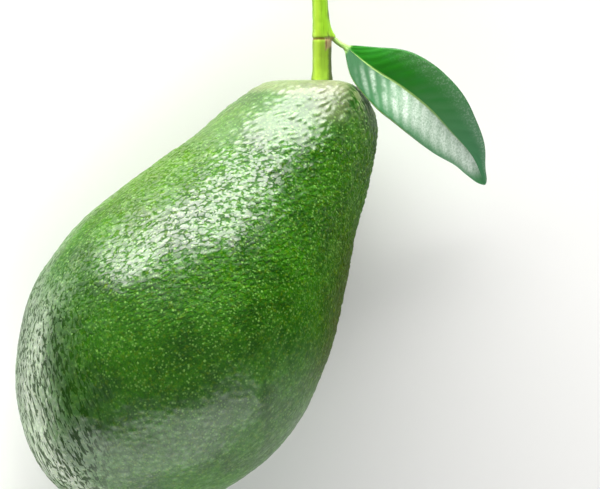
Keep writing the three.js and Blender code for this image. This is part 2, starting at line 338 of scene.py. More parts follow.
def colour(name, text, red, green, blue):
    """A colour setting, from a paint colour as it looks on a screen, 0 to 255."""
    linear = [(part / 255.0 / 12.92) if part <= 10 else ((part / 255.0 + 0.055) / 1.055) ** 2.4
              for part in (red, green, blue)]
    return bpy.props.FloatVectorProperty(name=name, description=text, subtype="COLOR", size=3,
                                         min=0.0, max=1.0, default=linear)


def paint(value):
    """A colour setting with full opacity, as a shader wants it."""
    return (value[0], value[1], value[2], 1.0)


class AvocadoFruitSettings(bpy.types.PropertyGroup):
    around: bpy.props.IntProperty(name="Points around", description="Points round the fruit",
                                  default=320, min=32, max=330)
    along: bpy.props.IntProperty(name="Points along", description="Points from end to end",
                                 default=300, min=32, max=300)
    pebble_height: bpy.props.FloatProperty(
        name="Pebble height", description="Height of the skin's pebbles, in metres",
        default=0.00024, min=0.0, max=0.0005, precision=5, subtype="DISTANCE", unit="LENGTH")
    green: colour("Green", "The skin's main colour", 54, 120, 6)
    # Dark green is the skin's own darker clouds, and painted shading in the pebbles' gaps, the creases and the
    # net.
    dark_green: colour("Dark green", "The skin's darker clouds and grooves", 26, 76, 4)
    # Yellow green is painted light on the lit side, and also the skin's own fine grain.
    yellow_green: colour("Yellow green", "The sunny side of the skin", 108, 138, 0)
    # Olive is painted shading on the shaded side.
    olive: colour("Olive", "The shaded side of the skin", 62, 66, 0)
    # Painted shading: the dark colour in the net's gaps by the blossom end.
    shaded_groove: colour("Groove", "The dark strokes near the blossom end", 20, 48, 10)
    # The specks' colour also paints thin reflection lines on the shaded side.
    speck: colour("Specks", "The small pale dots in the skin", 122, 172, 80)
    # Partly the pale skin round the stalk and partly painted highlight; it also paints the neck's pale patch and
    # the corner's ridges.
    crest_and_highlight: colour("Crest", "The pale skin where the fruit turns in to the stalk", 150, 152, 114)
    scar: colour("Scars", "Cork round the stalk, at the blossom end and in small flecks", 112, 92, 46)


class AvocadoStalkSettings(bpy.types.PropertyGroup):
    grain: bpy.props.FloatProperty(
        name="Grain", description="Edge of the small cubes that the stalk is fused from, in metres",
        default=0.00017, min=0.0001, max=0.001, precision=5, subtype="DISTANCE", unit="LENGTH")
    lime: colour("Lime", "The older growth", 162, 204, 60)
    bright: colour("Bright green", "The younger growth", 156, 214, 40)
    # Olive is the strands' own darker tint, and painted shading along both edges of the stalk.
    strand_and_edge_shade: colour("Olive edge", "The older growth's shaded edge", 66, 84, 16)
    # A painted highlight along both growths.
    gleam: colour("Yellow green", "The sunny streak along both growths", 196, 232, 66)
    rust: colour("Rust", "The ring, and fibres in the scar", 126, 82, 40)
    scar: colour("Scar", "The crusty patch below the leaf", 186, 160, 122)
    pith: colour("Pith", "The cut end", 205, 205, 140)


class AvocadoLeafSettings(bpy.types.PropertyGroup):
    thickness: bpy.props.FloatProperty(
        name="Thickness", description="Thickness of the blade, in metres",
        default=0.00042, min=0.0002, max=0.0007, precision=5, subtype="DISTANCE", unit="LENGTH")
    # The outer and inner halves are painted as a shaded and a lit copy of one green.
    outer: colour("Outer half", "The deep green half", 40, 134, 26)
    outer_far: colour("Outer half's end", "The deep green half towards the tip", 32, 118, 62)
    inner: colour("Inner half", "The half that catches the light", 52, 134, 72)
    # Painted sheen: the whitish light reflected on the inner half.
    sheen: colour("Bloom", "The whitish bloom between the veins", 226, 242, 228)
    # Base is the darker inner half by the stalk, and painted shadow along the outer margin.
    base: colour("Base", "The inner half by the stalk, and the outer margin", 20, 88, 40)
    vein: colour("Veins", "The midrib and the side veins", 160, 200, 110)
    under: colour("Underside", "The paler lower face", 96, 150, 84)


class AvocadoStageSettings(bpy.types.PropertyGroup):
    key: bpy.props.FloatProperty(name="Key light", description="Power of the tall light beyond the stalk",
                                 default=19.0, min=0.0, subtype="POWER", unit="POWER")
    fill: bpy.props.FloatProperty(name="Fill light", description="Power of the broad light on the near side",
                                  default=26.0, min=0.0, subtype="POWER", unit="POWER")
    floor: bpy.props.FloatProperty(name="Floor lights", description="Power of each light on the floor",
                                   default=3.2, min=0.0, subtype="POWER", unit="POWER")
    room: bpy.props.FloatProperty(name="Room light", description="Brightness of the room",
                                  default=0.09, min=0.0)


def skin_finish(look):
    """The skin: green clouds, painted light, shading and reflections on its sides, grooves and crown, specks and
    cork.
    """
    skin = Finish("avocado_skin", IOR=1.45, Specular_IOR_Level=0.03, Specular_Tint=(0.8, 1.0, 0.7, 1.0),
                  Coat_IOR=1.85, Coat_Roughness=0.31)
    place = skin.place()
    x, y, z = skin.parts(place)
    shaded_groove = 1.0 - skin.attribute("pebble")
    wander = skin.noise(place, 14.0, 3.0, 0.6) - 0.5
    side = y / 35.0 + wander * 0.5
    foot = skin.along(place, STALK_FOOT, STALKWARDS)
    from_foot = skin.distance(place, STALK_FOOT)
    from_blossom = skin.distance(place, BLOSSOM_END)

    clouds = skin.noise(place, 9.0, 4.0, 0.65)
    # Painted light: the lit side is painted yellow green.
    lit = side.step(0.25, 0.95) * x.step(-15.0, 45.0)
    tone = skin.mix(clouds.step(0.38, 0.68), paint(look.green), paint(look.dark_green))
    tone = skin.mix(lit * 0.75, tone, paint(look.yellow_green))
    shaded = 0.0 - side
    rise = z + x * math.tan(TILT) - 33.05
    # Painted shading: the shaded side is painted olive, low down and towards the neck.
    painted_side_shade = (1.0 - rise.step(7.0, 25.0)) * shaded.step(0.05, 0.3) * x.step(-8.0, 12.0)
    painted_side_shade = painted_side_shade * (1.0 - x.step(28.0, 46.0) * 0.7)
    tone = skin.mix(painted_side_shade * 0.95, tone, paint(look.olive))
    # Painted reflection: thin pale lines on the shaded side.
    reflection_streaks = skin.node("ShaderNodeTexNoise", None, {
        "Vector": skin.space(place, (14.0, 0.9, 0.9), (0.0, TILT, 0.0)), "Scale": 1.0, "Detail": 2.0})
    tone = skin.mix(reflection_streaks.step(0.5, 0.72) * shaded.step(0.0, 0.5) * 0.2, tone, paint(look.speck))
    fine = skin.noise(place, 0.9, 3.0, 0.7)
    tone = skin.mix(fine.step(0.5, 0.68) * 0.5, tone, paint(look.yellow_green))
    tone = skin.mix((1.0 - fine.step(0.3, 0.5)) * 0.75, tone, paint(look.dark_green))
    # Painted shading: the gaps between the pebbles are darkened.
    tone = skin.mix(shaded_groove.step(0.2, 1.0) * 0.4, tone, paint(look.dark_green))

    def specks(cell, radius, share):
        """Small round dots, one to a cell at most, some fainter than others."""
        dots = skin.tree.nodes.new("ShaderNodeTexVoronoi")
        skin.feed(dots.inputs["Vector"], skin.space(place, (cell, cell, cell)))
        dots.inputs["Scale"].default_value = 1.0
        luck = skin.node("ShaderNodeSeparateColor", None, {0: Term(skin, dots.outputs["Color"])})
        near = 1.0 - Term(skin, dots.outputs["Distance"]).step(radius * 0.4, radius)
        return near * luck.step(1.0 - share, 1.0)

    dots = specks(1.5, 0.26, 0.9)
    small = specks(0.72, 0.46, 1.0)
    pits = specks(0.66, 0.42, 1.0)
    tone = skin.mix(pits * 0.6, tone, paint(look.dark_green))
    plain = (1.0 - (0.0 - x).step(18.0, 38.0) * 0.55) * (1.0 - (0.0 - side).step(0.2, 0.8) * 0.5)
    tone = skin.mix(small * plain * 0.75, tone, paint(look.speck))
    tone = skin.mix(dots * plain * 0.95, tone, paint(look.speck))

    # Partly the skin's own pale rim round the stalk and partly a painted highlight running up to the stalk.
    crest_and_highlight = (foot + wander * 6.0).step(-4.2, -1.8) * (0.1 + fine * 0.7)
    crest_and_highlight = crest_and_highlight * (0.35 + from_foot.step(4.0, 13.0) * 0.65)
    tone = skin.mix(crest_and_highlight, tone, paint(look.crest_and_highlight))
    right = skin.along(place, STALK_FOOT, LEAFWARDS)
    # Painted highlight: a pale patch on the neck beside the stalk, on the leaf's side.
    painted_highlight = right.step(-4.0, 1.0) * (1.0 - (right + wander * 4.0).step(4.5, 8.0)) * rise.step(4.0, 12.0)
    tone = skin.mix(painted_highlight * (foot + wander * 6.0).step(-12.0, -7.0) * 0.3, tone, paint(look.crest_and_highlight))
    corner = right.step(4.5, 8.0) * foot.step(-10.0, -5.0)
    creases = skin.node("ShaderNodeTexNoise", None, {
        "Vector": skin.space(place, (5.0, 5.0, 1.3)), "Scale": 1.0, "Detail": 1.5,
        "Distortion": 0.5}).step(0.42, 0.56) * corner
    # Painted light and shading: the creased corner's ridges are painted pale and its creases dark.
    tone = skin.mix((corner - creases) * 0.4, tone, paint(look.crest_and_highlight))
    tone = skin.mix(creases * 0.9, tone, paint(look.dark_green))
    cork = 1.0 - (from_foot + clouds * 3.0).step(3.0, 6.0)
    cork_end = 1.0 - (from_blossom + fine * 1.5).step(2.0, 3.6)
    flecks = skin.noise(place, 2.6, 3.0, 0.6).step(0.72, 0.78) * skin.noise(place, 13.0, 1.0).step(0.5, 0.6)
    for share in (cork * 0.7, cork_end * 0.9, flecks * 0.6):
        tone = skin.mix(share, tone, paint(look.scar))

    waver = skin.node("ShaderNodeTexNoise", None, {
        "Vector": skin.space(place, (1.6, 1.6, 1.6)), "Scale": 1.0, "Detail": 2.0}, "Color")
    bent = skin.node("ShaderNodeVectorMath", {"operation": "MULTIPLY_ADD"}, {
        0: waver, 1: (0.0014, 0.0014, 0.0014), 2: place})
    slant = (0.0, 0.2, -0.633)
    plates = skin.node("ShaderNodeTexVoronoi", {"feature": "DISTANCE_TO_EDGE"}, {
        "Vector": skin.space(bent, (1.9, 1.2, 1.2), slant), "Scale": 1.0})
    strokes = skin.node("ShaderNodeTexNoise", None, {
        "Vector": skin.space(place, (3.6, 0.85, 0.85), (0.0, 0.0, CROWN_TURN + 0.35)), "Scale": 1.0,
        "Detail": 2.0, "Roughness": 0.55, "Distortion": 0.6})
    low = (0.0 - x).step(5.0, 20.0)
    plates = plates.step(0.0, 0.4) * (1.0 - low) + strokes.step(0.36, 0.62) * low
    wrinkles = skin.node("ShaderNodeTexNoise", None, {
        "Vector": skin.space(place, (1.7, 0.9, 0.9), slant), "Scale": 1.0, "Detail": 1.5,
        "Roughness": 0.55, "Distortion": 0.4})
    calm = 1.0 - foot.step(-16.0, -8.0) * 0.65
    leftwards = 0.0 - skin.along(place, Vector(), LEAFWARDS)
    stalkwards = skin.along(place, Vector(), STALKWARDS)
    calm = calm * (1.0 - (1.0 - stalkwards.step(-10.0, 10.0)) * (1.0 - leftwards.step(17.0, 27.0)) * 0.6)
    rough = plates * (0.4 + low * 0.4) + wrinkles * (1.0 - low * 0.65)
    net = leftwards.step(14.0, 25.0) * (1.0 - stalkwards.step(-5.0, 22.0)) * (1.0 - rise.step(19.0, 30.0))
    net = net * rise.step(-18.0, -2.0)
    # Painted shading: the net by the blossom end is darkened.
    tone = skin.mix(net * 0.4, tone, paint(look.dark_green))
    relief = rough * calm * (1.0 - net * 0.3) + (dots + small * 0.5 - pits * 0.5) * 0.08 - creases * 0.35
    shine = skin.noise(place, 3.0, 2.0, 0.6)
    gloss = 1.0 - (1.0 - side.step(-0.6, 0.2)) * (1.0 - (0.0 - x).step(-15.0, 10.0))
    rim = 1.0 - (rise + x.step(0.0, 40.0) * 9.0).step(14.0, 26.0)
    flank = rim * rise.step(6.0, 13.0) * side.step(0.0, 0.3) * x.step(-22.0, -6.0)
    gloss = gloss * (1.0 - flank * (0.8 - x.step(5.0, 30.0) * 0.45))
    gloss = gloss * (1.0 - cork) * (1.0 - creases * 0.8)
    near_crown = foot.step(-18.0, -10.0)
    cover = rough + net * 0.06 + near_crown * 0.22 - x.step(8.0, 30.0) * (1.0 - near_crown) * 0.04
    cover = cover.step(0.44, 0.66)
    # Painted shading: the net's gaps between its glossy pebbles are darkened further.
    tone = skin.mix(net * (1.0 - cover) * 0.85, tone, paint(look.shaded_groove))
    gloss = gloss * (1.0 - (1.0 - cover) * calm * calm * 0.9) * (1.0 - shaded_groove * 0.3)
    gloss = gloss * (1.0 - (1.0 - stalkwards.step(-10.0, 10.0)) * (1.0 - leftwards.step(17.0, 27.0)) * 0.12)
    gloss = gloss * 0.97 + 0.03
    return skin.surface(
        Base_Color=tone,
        Roughness=0.36 + shine * 0.12 + shaded_groove * 0.12 + cork * 0.25 + cork_end * 0.25,
        Coat_Weight=gloss,
        Normal=skin.bump(relief, 0.5))


class AVOCADO_OT_add_fruit(bpy.types.Operator):
    """Adds the whole fruit, with its pebbled skin"""

    bl_idname = "avocado.add_fruit"
    bl_label = "Add fruit"

    def execute(self, context):
        look = context.scene.avocado_fruit
        bm = bmesh.new()
        pebble = bm.verts.layers.float.new("pebble")
        line = evenly(OUTLINE, look.along)
        chain = [bm.verts.new(point) for point in line]
        edges = [bm.edges.new(pair) for pair in zip(chain, chain[1:])]
        bmesh.ops.spin(bm, geom=chain + edges, cent=(0, 0, 0), axis=(1, 0, 0), angle=2 * math.pi,
                       steps=look.around, use_merge=True)
        bmesh.ops.remove_doubles(bm, verts=bm.verts, dist=0.0005)
        bmesh.ops.recalc_face_normals(bm, faces=bm.faces)
        lie = Matrix.Translation(BLOSSOM_END) @ Matrix.Rotation(TILT, 4, "Y")
        along = {}
        for vertex in bm.verts:
            x, y, z = vertex.co
            along[vertex] = x
            pucker = 0.0
            if x < BELLY_AT:
                pucker = PUCKER_DEPTH * math.exp(-(math.hypot(y, z) / PUCKER_RADIUS) ** 2)
            shift = CROWN_SHIFT * math.exp(-((x - CROWN_SHIFT_AT) / CROWN_SHIFT_SPAN) ** 2)
            vertex.co = lie @ Vector((x + pucker, y + shift, z))
        bm.normal_update()
        height = look.pebble_height / MM
        for vertex in bm.verts:
            point = vertex.co.copy()
            grain = pebbles(point)
            vertex[pebble] = grain
            calm = smoothstep(point.z, 0.0, CALM_HEIGHT)
            rough = height * (0.45 + 0.55 * smoothstep(along[vertex], 35.0, 95.0))
            raised = lumps(point) * calm + (grain - 0.6) * rough * (0.35 + 0.65 * calm)
            shaped = crown(point + vertex.normal * raised)
            vertex.co = Vector((shaped.x, shaped.y, max(0.0, shaped.z)))
        mesh_object("avocado_fruit", bm, skin_finish(look), "fruit")
        return {"FINISHED"}


# The stalk's outline: radius and height above its foot, in millimetres
STALK_ROOT = 2.7
STALK_LENGTH = 25.0
RING_AT = 9.9
LOWER, UPPER, FOOT_FLARE = 2.24, 1.86, 2.6
STALK_OUTLINE = [
    (LOWER, -DENT_DEPTH - STALK_ROOT), (LOWER, -DENT_DEPTH + 0.7), (FOOT_FLARE, -DENT_DEPTH + 1.2),
    (FOOT_FLARE - 0.08, -DENT_DEPTH + 2.0), (LOWER + 0.08, -DENT_DEPTH + 3.4), (LOWER, 5.5),
    (LOWER + 0.07, RING_AT - 0.5), (LOWER - 0.16, RING_AT), (LOWER + 0.08, RING_AT + 0.5),
    (LOWER - 0.06, RING_AT + 2.0), (UPPER + 0.16, RING_AT + 4.5), (UPPER + 0.03, RING_AT + 8.0),
    (UPPER, STALK_LENGTH - 0.3), (UPPER - 0.25, STALK_LENGTH),
    (0.55, STALK_LENGTH), (0.45, STALK_LENGTH - 0.25),
]
STALK_LEAN, STALK_LIFT, CUT_SLANT = 0.055, 0.05, 0.16
CUSHION = [Vector(point) for point in (
    (0.2, 16.8, 0.85), (0.75, 14.2, 0.72), (1.4, 12.0, 0.62), (2.2, 10.55, 0.55), (2.75, 9.98, 0.55))]
CUSHION_WIDE, CUSHION_THIN = 1.2, 0.8
SPRIG = Matrix.Translation(STALK_FOOT) @ Matrix.Rotation(CROWN_TURN - math.pi / 2, 4, "Z")


def tube(bm, rings, count):
    """Extrudes a circle through rings, each a function from a point's share round to its place."""
    number = bm.verts.layers.int.get("number") or bm.verts.layers.int.new("number")
    circle = bmesh.ops.create_circle(bm, cap_ends=True, segments=count, radius=1.0)["verts"]
    for index, vertex in enumerate(circle):
        vertex[number] = index
        vertex.co = rings[0](index / count)
    edges = list({edge for vertex in circle for edge in vertex.link_edges})
    made = list(circle)
    for ring in rings[1:]:
        grown = bmesh.ops.extrude_edge_only(bm, edges=edges)["geom"]
        edges = [item for item in grown if isinstance(item, bmesh.types.BMEdge)
                 and item.is_boundary]
        for vertex in (item for item in grown if isinstance(item, bmesh.types.BMVert)):
            vertex.co = ring(vertex[number] / count)
            made.append(vertex)
    bmesh.ops.edgeloop_fill(bm, edges=edges)
    bmesh.ops.recalc_face_normals(bm, faces=bm.faces)
    return made


def stalk_finish(look):
    """The stalk: lime older growth, a rusty ring and scar, brighter younger growth."""
    finish = Finish("avocado_stalk", IOR=1.45)
    place = finish.place()
    up = finish.along(place, STALK_FOOT, STALKWARDS)
    right = finish.along(place, STALK_FOOT, LEAFWARDS)
    strands = finish.node("ShaderNodeTexNoise", None, {
        "Vector": finish.space(place, (6.0, 0.45, 0.45), (0.0, 0.0, CROWN_TURN)), "Scale": 1.0,
        "Detail": 3.0, "Roughness": 0.6})
    blotch = finish.noise(place, 1.4, 3.0, 0.6)
    tone = finish.mix(up.step(8.5, 12.5), paint(look.lime), paint(look.bright))
    tone = finish.mix(strands.step(0.45, 0.75) * 0.3, tone, paint(look.strand_and_edge_shade))
    # Painted highlight: a pale yellow-green band along the stalk's lit side.
    streak = (right + blotch * 0.6).step(-2.2, -1.1) * (1.0 - (right + blotch * 0.6).step(-0.7, 0.2))
    tone = finish.mix(streak * 0.7, tone, paint(look.gleam))
    # Painted shading: both edges of the stalk are darkened to olive, the right edge more.
    edge = (right + up.step(9.0, 12.0) * 0.2 + blotch * 0.4).step(1.35, 2.1)
    edge = edge * (1.0 - up.step(9.4, 10.0) * (right * 2.0 + up).step(13.6, 14.6) * (1.0 - up.step(13.0, 16.0)))
    tone = finish.mix(edge * 0.95, tone, paint(look.strand_and_edge_shade))
    tone = finish.mix((0.0 - right).step(1.7, 2.3) * 0.4, tone, paint(look.strand_and_edge_shade))
    level = up + (blotch - 0.5) * 0.7
    ring = level.step(9.4, 9.8) * (1.0 - level.step(10.0, 10.4)) * (1.0 - right.step(0.4, 1.0))
    scar = (right + blotch * 0.6).step(0.8, 1.3) * (up - right * 0.8).step(6.0, 6.8) * (1.0 - up.step(10.0, 10.6))
    tone = finish.mix(ring * 0.8, tone, paint(look.rust))
    tone = finish.mix(scar * (0.5 + strands * 0.7), tone, paint(look.scar))
    tone = finish.mix(scar * strands.step(0.5, 0.62) * 0.7, tone, paint(look.rust))
    cut = (up - right * CUT_SLANT).step(STALK_LENGTH - 0.32, STALK_LENGTH - 0.1)
    tone = finish.mix(cut * 0.9, tone, paint(look.pith))
    return finish.surface(
        Base_Color=tone,
        Roughness=0.42 + blotch * 0.12 + ring * 0.2 + cut * 0.3,
        Normal=finish.bump(strands + blotch * 0.4, 0.05))


class AVOCADO_OT_add_stalk(bpy.types.Operator):
    """Adds the stalk, with its ring, scar and leaf cushion"""

    bl_idname = "avocado.add_stalk"
    bl_label = "Add stalk"

    def execute(self, context):
        look = context.scene.avocado_stalk
        bm = bmesh.new()

        def stalk_ring(radius, height):
            def at(share):
                angle = 2.0 * math.pi * share
                x = radius * math.cos(angle) - STALK_LEAN * max(0.0, height - RING_AT)
                z = radius * math.sin(angle) + STALK_LIFT * max(0.0, height)
                y = height + (CUT_SLANT * x if height > STALK_LENGTH - 1.0 else 0.0)
                return SPRIG @ Vector((x, y, z))
            return at

        tube(bm, [stalk_ring(radius, height) for radius, height in STALK_OUTLINE], 32)

        def cushion_ring(share_along):
            centre = spline(CUSHION, share_along)
            ahead = (spline(CUSHION, share_along + 0.02) - spline(CUSHION, share_along - 0.02)).normalized()
            across = ahead.cross(UP).normalized()
            over = across.cross(ahead)
            radius = CUSHION_WIDE + (CUSHION_THIN - CUSHION_WIDE) * share_along

            def at(share):
                angle = 2.0 * math.pi * share
                return SPRIG @ (centre + across * (radius * math.cos(angle)) + over * (radius * math.sin(angle)))
            return at

        tube(bm, [cushion_ring(step / 10) for step in range(11)], 20)
        bmesh.ops.triangulate(bm, faces=[face for face in bm.faces if len(face.verts) > 4])
        bmesh.ops.scale(bm, vec=(MM, MM, MM), verts=bm.verts)
        rough = bpy.data.meshes.new("stalk_rough")
        bm.to_mesh(rough)
        bm.free()
        carrier = bpy.data.objects.new("stalk_rough", rough)
        context.scene.collection.objects.link(carrier)
        fuse = carrier.modifiers.new("fuse", "REMESH")
        fuse.mode = "VOXEL"
        fuse.voxel_size = look.grain
        context.view_layer.update()
        fused = bpy.data.meshes.new_from_object(carrier.evaluated_get(context.evaluated_depsgraph_get()))
        bm = bmesh.new()
        bm.from_mesh(fused)
        bpy.data.objects.remove(carrier)
        bpy.data.meshes.remove(rough)
        bpy.data.meshes.remove(fused)
        if not bm.faces:
            raise RuntimeError("the stalk's parts did not fuse")
        for turn in range(3):
            bmesh.ops.smooth_vert(bm, verts=bm.verts, factor=0.5, use_axis_x=True, use_axis_y=True,
                                  use_axis_z=True)
        bmesh.ops.scale(bm, vec=(1 / MM, 1 / MM, 1 / MM), verts=bm.verts)
        bm.normal_update()
        for vertex in bm.verts:
            place = SPRIG.inverted() @ vertex.co
            strand = noise.noise(Vector((place.x / 0.5, place.y / 5.0, place.z / 0.5)))
            knob = noise.noise(place / 1.3)
            vertex.co += vertex.normal * (0.05 * strand + 0.05 * knob)
        mesh_object("avocado_stalk", bm, stalk_finish(look), "stalk")
        return {"FINISHED"}


# The leaf, in the sprig's own place: x to the leaf's side, y along the stalk, z up, in millimetres
MIDRIB = [Vector(point) for point in (
    (5.7, 7.95, 1.9), (11.95, 2.95, 5.6), (18.6, -1.35, 6.4), (24.9, -6.25, 4.8), (30.4, -12.0, 1.3),
    (35.6, -17.9, -3.4), (38.7, -24.6, -8.6))]
PETIOLE = [Vector(point) for point in (
    (2.2, 10.45, 0.5), (2.6, 10.1, 0.52), (2.98, 9.75, 0.55), (3.7, 9.1, 0.66), (4.7, 8.4, 1.0),
    (5.7, 7.95, 1.48))]
OUTER_HALF = (0.6, 3.9, 6.6, 8.15, 8.65, 8.45, 7.85, 6.5, 4.5, 1.9, 0.7)
INNER_HALF = (0.7, 4.5, 6.4, 7.7, 7.95, 7.95, 7.4, 6.3, 4.85, 3.5, 0.9)
OUTER_RISE, INNER_RISE, ARCH = 0.42, 0.74, 0.16
WAVE, WAVE_COUNT, WAVE_SKEW = 0.3, 2.5, 0.3
TIP_START, TIP_ROUNDING = 0.965, 0.97
PETIOLE_RADIUS, RIB_TIP_RADIUS, RIB_SINK = 0.62, 0.24, 0.5
VEINS = 15
VEIN_SWEEP = 0.14


def half_width(share, side):
    """The blade's width from its midrib to one margin."""
    widths = spline(OUTER_HALF if side > 0 else INNER_HALF, share)
    past = max(0.0, (share - TIP_START) / (1.0 - TIP_START))
    return widths * math.sqrt(max(0.0, 1.0 - TIP_ROUNDING * past * past))


def blade_point(share, side):
    """A point on the blade's upper face. Side is -1 on the inner margin and 1 on the outer one."""
    heading = spline(MIDRIB, share + 0.01) - spline(MIDRIB, share - 0.01)
    outwards = Vector((-heading.y, heading.x, 0.0)).normalized()
    away = abs(side)
    half = half_width(share, side)
    rise = OUTER_RISE if side > 0 else INNER_RISE
    lift = half * (rise * away - ARCH * away * away)
    lift += WAVE * away * away * math.sin(2 * math.pi * (WAVE_COUNT * share + WAVE_SKEW * side)) * math.sin(
        math.pi * share)
    return spline(MIDRIB, share) + outwards * (half * side) + UP * lift


def leaf_finish(look):
    """The leaf: a deep green and a lighter half, painted shading and light on one green, a painted whitish sheen
    between veins, and a pale midrib.
    """
    leaf = Finish("avocado_leaf", IOR=1.45, Specular_IOR_Level=0.08, Coat_IOR=1.5, Coat_Roughness=0.36)
    place = leaf.place()
    share, side = leaf.attribute("share"), leaf.attribute("side")
    top = leaf.attribute("top")
    away = side.math("ABSOLUTE", side)
    inner = (0.0 - side).step(-0.02, 0.02)
    grainy = leaf.noise(place, 0.5, 2.0, 0.7)
    cloud = leaf.noise(place, 4.0, 3.0, 0.6)

    turn = (share - away ** 1.25 * VEIN_SWEEP) * VEINS + inner * 0.45 + cloud * 0.25
    wave = leaf.node("ShaderNodeMath", {"operation": "PINGPONG"}, {0: turn, 1: 0.5}) * 2.0
    vein = 1.0 - wave.step(0.0, 0.16)
    between = wave.step(0.1, 0.9)

    # Painted light and shading: the outer half is painted deep green and the inner half lighter, as one green in
    # shadow and in light.
    deep = leaf.mix(share.step(0.25, 0.9), paint(look.outer), paint(look.outer_far))
    pale = paint(look.inner)
    tone = leaf.mix(inner, deep, pale)
    tone = leaf.mix(cloud.step(0.4, 0.75) * 0.25, tone, paint(look.inner))
    inwards = 1.0 - away.step(0.45, 1.1)
    patchy = leaf.noise(place, 3.2, 2.0, 0.6).step(0.3, 0.6)
    # Painted sheen on the inner half: whitish bands along the veins near the base, and a broad whitish sheen
    # further out that fades towards the margin.
    sheen_stripes = (1.0 - between) * share.step(0.08, 0.2) * (1.0 - share.step(0.4, 0.6)) * inwards
    broad_sheen = share.step(0.24, 0.44) * (1.0 - share.step(0.86, 0.97)) * inwards
    grain = 0.65 + grainy.step(0.3, 0.7) * 0.6
    sheen = inner * (sheen_stripes * patchy * 0.55 + broad_sheen * (0.95 - between * 0.2)) * grain
    base = inner * (1.0 - share.step(0.12, 0.42))
    tone = leaf.mix(base * (0.7 + grainy * 0.6), tone, paint(look.base))
    tone = leaf.mix(sheen * (0.75 + share.step(0.35, 0.75) * 0.25), tone, paint(look.sheen))
    # Painted sheen: pale grainy glints on the outer half towards its margin.
    sparkle = (1.0 - inner) * away.step(0.4, 0.95) * share.step(0.12, 0.4) * (0.16 + grainy.step(0.45, 0.75) * 0.5)
    tone = leaf.mix(sparkle * 0.5, tone, paint(look.sheen))
    tone = leaf.mix(vein * 0.1 * away.step(0.02, 0.2), tone, paint(look.inner))
    width = 0.025 + (1.0 - share) * 0.02
    rib = 1.0 - (away / width).step(0.5, 1.1)
    tone = leaf.mix(rib * (1.0 - share.step(0.4, 0.9)) * 0.9, tone, paint(look.vein))
    margin = inner * away.step(0.955, 0.985) * (1.0 - share.step(0.4, 0.7)) * 0.5
    tone = leaf.mix(margin, tone, paint(look.vein))
    # Painted shadow: a dark line along the outer margin.
    tone = leaf.mix((1.0 - inner) * away.step(0.965, 0.985) * 0.6, tone, paint(look.base))
    low = leaf.mix(vein * 0.5 + rib * 0.5, paint(look.under), paint(look.vein))
    tone = leaf.mix(top, low, tone)
    stem = share.step(-0.001, 0.03)
    tone = leaf.mix(stem, paint(look.vein), tone)
    return leaf.surface(
        Base_Color=tone,
        Roughness=0.36 + grainy * 0.12 + sheen * 0.15,
        Coat_Weight=(0.4 + inner * 0.3) * (1.0 - base * 0.8),
        Normal=leaf.bump(grainy * 0.3 + between * 0.5, 0.06))


